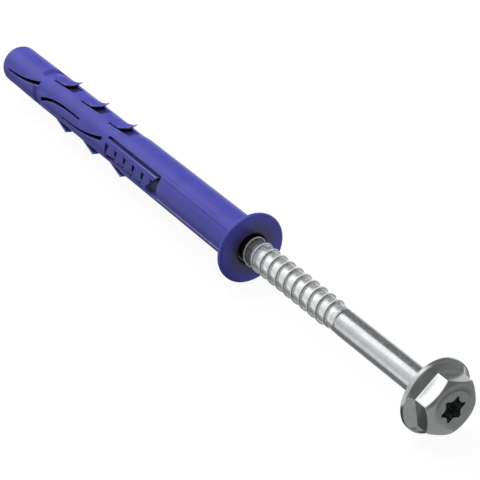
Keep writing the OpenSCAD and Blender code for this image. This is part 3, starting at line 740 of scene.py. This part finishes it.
def bank(x, up, across):
    """A four-cornered section, up against across, that runs from the window's end to the slant."""
    inner = BANK_W - BANK_EDGE
    corners = [(FOOT, -BANK_EDGE), (BANK_TOP, -BANK_EDGE), (BANK_TOP, inner), (FOOT, inner + BANK_BATTER)]
    section = polygon_field(up, across, corners)
    return np.maximum(np.maximum(section, WINDOW_END - BANK_BACK - x), past_slant(x, across))


def tooth(start, corner):
    """A five-cornered outline, across against along, grown by a radius and cut by a sloping top."""
    corners = [(-1.4, 1.2), (corner - 0.3, 0.35), (corner - 0.6, 3.4), (0.75, 2.9), (-1.4, 2.8)]

    def shape(x, up, across):
        top = TOOTH_H - TOOTH_DROP * (x - start) / TOOTH_LEN
        seen_from_above = polygon_field(across, x - start, corners) - TOOTH_ROUND
        block = np.maximum(seen_from_above, np.maximum(up - top, FOOT - up))
        return np.maximum(block, past_slant(x, across))

    return shape


for side in (WINDOW_TURN, WINDOW_TURN + 180):
    combine(WINDOW_END, WINDOW_START, side, WINDOW_REACH, window, cut=True, k=WINDOW_ROUND)
    combine(WINDOW_END - BANK_BACK, WINDOW_START - BANK_GAP, side, BANK_REACH, bank, cut=False, k=BANK_FILLET)
    for n in range(TEETH):
        start = WINDOW_END + FIRST_TOOTH + n * TOOTH_PITCH
        shape = tooth(start, FIRST_CORNER + n * TOOTH_GAIN)
        combine(start, start + TOOTH_PITCH, side, TOOTH_REACH, shape, cut=False, k=TOOTH_FILLET)
print("teeth in each window:", TEETH)

# %% [markdown]
# Two fine ribs run from each window to the collar: the flat witness of the mould's parting, and a
# narrow one beside the other edge of the window.

# %% Shaft ribs
RIB_H, RIB_SET, RIB_GAP, RIB_REACH, RIB_FILLET = 0.12, 0.25, 0.4, 20, 0.06
RIBS = [(128, 0.45), (RIB_TURN, 0.16)]  # the turn and half the width of each


def rib(half_width):
    """A strip of that half width whose top is a height over the outline and whose foot is set in it."""
    def shape(x, up, across):
        height = up - outline(x.ravel())[:, None, None]
        section = np.abs(height - RIB_H / 2 + RIB_SET) - RIB_H / 2 - RIB_SET
        ends = np.maximum(x, WINDOW_START + RIB_GAP - x)
        return np.maximum(np.maximum(np.abs(across) - half_width, section), ends)

    return shape


for half_turn in (0, 180):
    for turn, half_width in RIBS:
        combine(WINDOW_START, -COLLAR_T / 2, turn + half_turn, RIB_REACH, rib(half_width),
                cut=False, k=RIB_FILLET)
print("ribs added:", 2 * len(RIBS))

# %% [markdown]
# The surface is where the field is zero. In each cell of the block that the surface passes through,
# one point is put at the mean of the places where it crosses the cell's edges. Each grid edge that
# it crosses then gives one face, joining the four cells round that edge. This is called a surface
# net. Round the axis, where the cells end in a point, a fan closes the hole.

# %% Surface net
# The four cells round a grid edge, for an edge along each axis.
CELLS_ROUND = [[(0, -1, -1), (0, 0, -1), (0, 0, 0), (0, -1, 0)],
               [(-1, 0, -1), (0, 0, -1), (0, 0, 0), (-1, 0, 0)],
               [(-1, -1, 0), (0, -1, 0), (0, 0, 0), (-1, 0, 0)]]


def over_corners(array, operation):
    """Joins the eight corners of every cell with an operation on two arrays."""
    array = operation(array[:-1], array[1:])
    array = operation(array, np.roll(array, -1, 1))
    return operation(array[:, :, :-1], array[:, :, 1:])


def two_triangles(quads):
    """Each face of four corners as two of three."""
    return np.concatenate([quads[:, [0, 1, 2]], quads[:, [0, 2, 3]]])


def surface_net(values, xs, ts, rs):
    """Points and triangles of the zero surface. Along a cell's edge the field is taken as a straight line."""
    inside = values < 0
    crossed = over_corners(inside, np.logical_or) & ~over_corners(inside, np.logical_and)
    i, j, k = np.nonzero(crossed)
    number = np.full(crossed.shape, -1, np.int32)
    number[i, j, k] = np.arange(len(i))
    next_j, all_ts = (j + 1) % len(ts), np.append(ts, 2 * math.pi)
    points, hits = np.zeros((len(i), 3)), np.zeros((len(i), 1))
    for axis, p, q in np.ndindex(3, 2, 2):
        a, b = np.insert([p, q], axis, 0), np.insert([p, q], axis, 1)
        va = values[i + a[0], next_j if a[1] else j, k + a[2]]
        vb = values[i + b[0], next_j if b[1] else j, k + b[2]]
        hit = (va < 0) != (vb < 0)
        s = np.where(hit, va / np.where(hit, va - vb, 1), 0)
        x, t, r = (line[n + low] + (line[n + high] - line[n + low]) * s
                   for line, n, low, high in zip((xs, all_ts, rs), (i, j, k), a, b))
        points += np.stack([x, r * np.cos(t), r * np.sin(t)], 1) * hit[:, None]
        hits += hit[:, None]
    points /= hits

    faces = []
    for axis in range(3):
        i, j, k = np.nonzero(inside != np.roll(inside, -1, axis))
        keep = (i < len(xs) - 1) & (k < len(rs) - 1) & ((i > 0) | (axis == 0)) & ((k > 0) | (axis == 2))
        i, j, k = i[keep], j[keep], k[keep]
        quads = np.stack([number[i + a, j + b, k + c] for a, b, c in CELLS_ROUND[axis]], 1)
        flip = inside[i, j, k] == (axis != 1)
        quads[flip] = quads[flip][:, ::-1]
        faces.append(quads)
    triangles = [two_triangles(np.concatenate(faces))]

    for i in np.nonzero(inside[:-1, 0, 0] != inside[1:, 0, 0])[0]:
        ring = number[i, :, 0]
        fan = np.stack([np.roll(ring, -1), ring, np.full(len(ring), len(points))], 1)
        triangles.append(fan if inside[i, 0, 0] else fan[:, ::-1])
        points = np.vstack([points, points[ring].mean(0)])
    return points, np.concatenate(triangles)


points, triangles = surface_net(field, xs, ts, rs)
print("surface net of", len(triangles), "triangles")

# %% [markdown]
# The net is far finer than the smooth stretches need, so Blender's Decimate collapses the edges that
# change the surface least. Edges sharper than a set angle are marked, so that the shading breaks
# there. The field also tells how the surface bends: its mean round a point of the surface is zero on
# a flat, positive on an outward edge and negative in a corner. The mesh keeps it as bend.

# %% Sleeve
SLEEVE_TRIANGLES = 190000
SHARP_ANGLE = math.radians(38)
BEND_REACH = 3


def new_mesh(name, points, faces):
    """A mesh from arrays of points in millimetres and of faces with three or four corners each."""
    mesh = bpy.data.meshes.new(name)
    mesh.vertices.add(len(points))
    mesh.vertices.foreach_set("co", place(points).ravel())
    mesh.loops.add(faces.size)
    mesh.loops.foreach_set("vertex_index", faces.ravel().astype(np.int32))
    mesh.polygons.add(len(faces))
    mesh.polygons.foreach_set("loop_start", np.arange(len(faces)) * faces.shape[1])
    mesh.update(calc_edges=True)
    mesh.validate()
    return mesh


def finished(name, mesh, material, node):
    """A smooth-shaded piece with sharp edges and its material, which rides and replaces a node."""
    mesh.polygons.foreach_set("use_smooth", np.ones(len(mesh.polygons), bool))
    mesh.set_sharp_from_angle(angle=SHARP_ANGLE)
    mesh.materials.append(material)
    piece = new_object(name, mesh)
    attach(piece, "root")
    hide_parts(node)
    return piece


def thinned(mesh, wanted):
    """The mesh after Decimate has collapsed its edges down to a number of triangles."""
    holder = new_object("holder", mesh)
    holder.modifiers.new("thin", "DECIMATE").ratio = wanted / len(mesh.polygons)
    seen_with = holder.evaluated_get(bpy.context.evaluated_depsgraph_get())
    result = bpy.data.meshes.new_from_object(seen_with)
    bpy.data.objects.remove(holder)
    bpy.data.meshes.remove(mesh)
    return result


def blurred(values, reach):
    """Each value's mean with its neighbours up to a reach along each axis. The turn wraps round."""
    for axis, mode in enumerate(("clip", "wrap", "clip")):
        index, near = np.arange(values.shape[axis]), range(-reach, reach + 1)
        values = sum(values.take(index + n, axis, mode=mode) for n in near) / len(near)
    return values


def sampled(values, points):
    """The block's value at points, mixed from the eight crossings round each."""
    x, y, z = points.T
    turn = np.arctan2(z, y) % (2 * math.pi) * (TURNS / (2 * math.pi))
    i = np.clip(np.searchsorted(xs, x) - 1, 0, len(xs) - 2)
    k = np.clip(np.searchsorted(rs, np.hypot(y, z)) - 1, 0, len(rs) - 2)
    j = turn.astype(int) % TURNS
    shares = (x - xs[i]) / (xs[i + 1] - xs[i]), turn % 1.0, (np.hypot(y, z) - rs[k]) / (rs[k + 1] - rs[k])
    total = 0.0
    for a, b, c in np.ndindex(2, 2, 2):
        weight = np.prod([share if bit else 1 - share for share, bit in zip(shares, (a, b, c))], 0)
        total = total + values[i + a, (j + b) % TURNS, k + c] * weight
    return total


sleeve_mesh = thinned(new_mesh("sleeve_net", points, triangles), SLEEVE_TRIANGLES)
sleeve_mesh.name = "sleeve"
coordinates = np.empty(len(sleeve_mesh.vertices) * 3, np.float32)
sleeve_mesh.vertices.foreach_get("co", coordinates)
bend = sampled(blurred(field, BEND_REACH), coordinates.reshape(-1, 3) / MM - [FACE_X, 0.0, AXIS_Z])
sleeve_mesh.attributes.new("bend", "FLOAT", "POINT").data.foreach_set("value", bend.astype(np.float32))
print("bend from", round(float(bend.min()), 2), "to", round(float(bend.max()), 2))
sleeve = finished("sleeve", sleeve_mesh, nylon, "nylon_sleeve")
print("sleeve of", len(sleeve.data.polygons), "triangles")

# %% [markdown]
# The thread is one strip wound round the rod. Its grid lines run along the helix, so each ridge
# keeps a straight, crisp crest: a point's turn grows along the strip, its place along the axis grows
# by one pitch a turn, and across the strip the radius follows the ridge's section, with a narrow flat
# crest. The far edge of each turn is the near edge of the next. The ridge grows from the point, is a
# little higher outside the sleeve than in it, and fades out by the shank.

# %% Threaded rod
THREAD_END, POINT_LEN, TURN_STEPS = 29.025, 6.0, 72
CREST_R, ROOT_R, ROOT_BULGE, BULGE_HALF = 3.1, 2.66, 0.08, 1.1
RIDGE_HALF, CREST_HALF = 0.22, 0.13
OPEN_GAIN, OPEN_START, OPEN_LEN = 0.07, -0.5, 1.5
TIP_SHARE, RIDGE_LEAD, FADE_TURNS = 0.08, 1.6, 0.2
SECTION = [-0.5, -0.28, -0.22, -0.19, -0.16, -0.13, 0.13, 0.16, 0.19, 0.22, 0.28, 0.5, 0.95, 1.4, 1.85]


def ridge(offset):
    """The ridge's height, 0 at its foot and 1 on its crest: steep flanks with soft ends."""
    flank = np.clip((RIDGE_HALF - np.abs(offset)) / (RIDGE_HALF - CREST_HALF), 0.0, 1.0)
    return flank * flank * (3 - 2 * flank)


def bulge(offset):
    """The root's slight barrel shape between two ridges, 1 in the middle."""
    return np.clip(1 - ((np.abs(offset) - THREAD_PITCH / 2) / BULGE_HALF) ** 2, 0.0, 1.0)


def threaded_rod():
    """Along the strip and across its section, the radius is the tapering root's plus ridge and bulge."""
    count = int((THREAD_END - SCREW_POINT) / THREAD_PITCH * TURN_STEPS)
    i, offset = np.arange(count + 1)[:, None], np.array(SECTION)[None, :]
    x = SCREW_POINT + THREAD_LEAD + THREAD_PITCH * i / TURN_STEPS + offset
    grow = np.clip((x - SCREW_POINT) / POINT_LEN, TIP_SHARE, 1.0)
    fade = np.clip((count - i) / (FADE_TURNS * TURN_STEPS), 0.0, 1.0)
    high = CREST_R - ROOT_R + OPEN_GAIN * np.clip((x - OPEN_START) / OPEN_LEN, 0.0, 1.0)
    radius = grow * ROOT_R + high * ridge(offset) * np.minimum(1.0, RIDGE_LEAD * grow) * fade
    radius = radius + ROOT_BULGE * bulge(offset) * grow * fade
    turn = math.radians(THREAD_TURN) + 2 * math.pi * i / TURN_STEPS
    points = np.stack([x, radius * np.cos(turn), radius * np.sin(turn)], -1)
    index = np.arange((count + 1) * len(SECTION)).reshape(count + 1, len(SECTION))
    rows = np.stack([index[:-1, :-1], index[1:, :-1], index[1:, 1:], index[:-1, 1:]], -1).reshape(-1, 4)
    last, first = index[: count + 1 - TURN_STEPS, -1], index[TURN_STEPS:, 0]
    joins = np.stack([last[:-1], last[1:], first[1:], first[:-1]], -1)
    near = np.concatenate([index[: TURN_STEPS + 1, 0], index[0, :0:-1]])
    far = np.concatenate([index[count - TURN_STEPS :, -1], index[count, -2::-1]])
    middle = index.size
    caps = [np.stack([near, np.roll(near, -1), np.full(len(near), middle)], 1)[:, ::-1],
            np.stack([far, np.roll(far, -1), np.full(len(far), middle + 1)], 1)]
    ends = [[SCREW_POINT, 0.0, 0.0], [x[-1, 0], 0.0, 0.0]]
    faces = np.concatenate([two_triangles(np.concatenate([rows, joins])), *caps])
    return np.vstack([points.reshape(-1, 3), ends]), faces


rod_points, rod_faces = threaded_rod()
print("threaded rod of", len(rod_faces), "triangles")

# %% [markdown]
# The shank and the head are one profile carried round the axis, from the relief groove to the floor
# of the recess. Where the section isn't round, the profile's radius depends on the turn: on the
# hexagon it is the distance to the nearest flat, and in the recess the distance to a six-lobed curve.
# The crown's height depends on the radius alone, which gives the flats their arched upper edges.

# %% The head's curves
FLANGE_R, RIM_T, RIM_ROUND = 7.9, 1.05, 0.2
HEX_AF, HEX_CORNER, HEX_SHARP = 11.2, 38.0, 90
LOBE_TIP, LOBE_WAIST, LOBE_ROUND, FLUTE_ROUND, LOBE_MEETS = 2.8, 1.98, 0.45, 1.19, math.radians(10.1)
SIXTH = math.radians(60)


def hexagon(turn):
    """The radius of a hexagon at each turn: a soft maximum over its six flats, so its corners are round."""
    flats = np.radians(HEX_CORNER + 30 + 60 * np.arange(6))[:, None]
    reach = np.maximum(np.cos(turn[None, :] - flats), 1e-3) / (HEX_AF / 2)
    return 1.0 / (reach**HEX_SHARP).sum(0) ** (1 / HEX_SHARP)


def six_lobes(turn):
    """The recess's radius: small arcs centred inside the tips, larger ones outside the waists."""
    off = np.abs((turn - math.radians(HEX_CORNER + 30) + SIXTH / 2) % SIXTH - SIXTH / 2)
    centre, outer = LOBE_TIP - LOBE_ROUND, LOBE_WAIST + FLUTE_ROUND
    lobe = centre * np.cos(off) + np.sqrt(np.maximum(LOBE_ROUND**2 - (centre * np.sin(off)) ** 2, 0))
    other = SIXTH / 2 - off
    flute = outer * np.cos(other) - np.sqrt(np.maximum(FLUTE_ROUND**2 - (outer * np.sin(other)) ** 2, 0))
    return np.where(off < LOBE_MEETS, lobe, flute)


def crown(radius):
    """The height of the head over the flange's underside, at a radius: flat, then falling as an arc."""
    out = np.clip(radius - TOP_R, 0.0, CROWN_R * 0.98)
    return HEAD_H - CROWN_R + np.sqrt(CROWN_R**2 - out**2)


def quarter(start, count=5):
    """A quarter circle of radius 1 between two lines, as each point's distances from them."""
    return [(1 - math.cos(a), 1 - math.sin(a)) for a in np.linspace(start, 1.57, count)]


# %% [markdown]
# The profile is written as rings, each a place along the axis and a radius, joined by faces. Rings lie
# close together at the small radii, which shade as a soft glint, and far apart on plain stretches.

# %% Shank and head
SHANK_X, SHANK_R, RELIEF_R, RELIEF_W = 32.3, 2.8, 2.35, 0.8
STUB = 1.4  # how far the shank's piece reaches back inside the rod
FILLET, EDGE_DROP, LAND, SPREAD = 0.3, 0.06, 0.25, 0.35
RECESS_DEPTH, RECESS_EASE, RECESS_TAPER, RECESS_CONE = 3.0, 0.12, 0.03, 0.5
HEAD_TURNS = 576


def shank_and_head():
    turn = np.arange(HEAD_TURNS) * 2 * math.pi / HEAD_TURNS
    flat, lobe, one = hexagon(turn), six_lobes(turn), np.ones(HEAD_TURNS)
    rows = []

    def ring(x, radius):
        rows.append(np.stack(np.broadcast_arrays(x * one, radius * np.cos(turn), radius * np.sin(turn)), -1))

    groove, base, top = SHANK_X - RELIEF_W, SCREW_OUT + FLANGE_T, SCREW_OUT + HEAD_H
    rim = [(RIM_ROUND * out, FLANGE_R - RIM_ROUND * down) for out, down in quarter(0.2)]
    plain = [(groove - STUB, 0.05), (groove - STUB, ROOT_R - 0.2), (groove - 1.2, ROOT_R),
             (groove - 0.05, ROOT_R), (groove, ROOT_R - 0.03), (groove + 0.2, RELIEF_R),
             (SHANK_X - 0.2, RELIEF_R), (SHANK_X - 0.05, SHANK_R - 0.12), (SHANK_X + 0.1, SHANK_R),
             (SHANK_X + 0.4, SHANK_R)]
    plain += [(x, SHANK_R) for x in np.linspace(SHANK_X + 1.5, SCREW_OUT - 0.5, 24)]
    plain += [(SCREW_OUT - FILLET * down, SHANK_R + FILLET * out) for out, down in quarter(0.2)]
    plain += [(SCREW_OUT, r) for r in np.linspace(3.4, FLANGE_R - RIM_ROUND, 6)]
    plain += [(SCREW_OUT + x, r) for x, r in rim] + [(SCREW_OUT + RIM_T - x, r) for x, r in rim[::-1]]
    for x, radius in [*plain, (SCREW_OUT + RIM_T, FLANGE_R - LAND)]:
        ring(x, radius * one)
    for s in np.linspace(0.12, 1.0, 7):
        ring(SCREW_OUT + RIM_T + (FLANGE_T - RIM_T) * s, (FLANGE_R - LAND) * (1 - s) + (flat + SPREAD) * s)
    for out, down in quarter(0.3):
        ring(base + FILLET * out, flat + FILLET * down)
    edge = SCREW_OUT + crown(flat)
    for s in np.linspace(0.15, 1.0, 8):
        ring(base + FILLET + (edge - EDGE_DROP - base - FILLET) * s, flat)
    for inner in (0.02, 0.06, 0.12, 0.3, 0.6, 0.9, 1.2, 1.5, 1.8, 2.1):
        radius = np.maximum(flat - inner, TOP_R)
        ring(SCREW_OUT + crown(radius) - (0.02 if inner == 0.02 else 0.0), radius)
    for s in np.linspace(0.2, 1.0, 5):
        ring(top, TOP_R * (1 - s) + (lobe + RECESS_EASE) * s)
    ring(top - 0.03, lobe + 0.04)
    ring(top - RECESS_EASE, lobe)
    for s in np.linspace(0.1, 1.0, 6):
        ring(top - RECESS_EASE - (RECESS_DEPTH - RECESS_EASE) * s, lobe * (1 - RECESS_TAPER * s))
    for s in (0.75, 0.5, 0.25):
        ring(top - RECESS_DEPTH - RECESS_CONE * (1 - s), lobe * s)
    n, m = len(rows), HEAD_TURNS
    index = np.arange(n * m).reshape(n, m)
    around = np.roll(index, -1, 1)
    quads = np.stack([index[:-1], around[:-1], around[1:], index[1:]], -1).reshape(-1, 4)
    caps = [np.stack([around[0], index[0], np.full(m, n * m)], 1),
            np.stack([index[-1], around[-1], np.full(m, n * m + 1)], 1)]
    ends = [[groove - STUB, 0.0, 0.0], [top - RECESS_DEPTH - 0.6, 0.0, 0.0]]
    return np.vstack([np.concatenate(rows), ends]), np.concatenate([two_triangles(quads), *caps])[:, ::-1]


head_points, head_faces = shank_and_head()
print("shank and head of", len(head_faces), "triangles")

screw_mesh = new_mesh("screw", np.vstack([rod_points, head_points]),
                      np.concatenate([rod_faces, head_faces + len(rod_points)]))
screw = finished("screw", screw_mesh, zinc, "hex_flange_screw")
print("screw of", len(screw.data.polygons), "triangles")

# %% Sizes
low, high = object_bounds()
past = [[round((a - b) / MM, 3) for a, b in zip(*pair)] for pair in ((low, cad_low), (high, cad_high))]
print("visual minus CAD in mm", past)
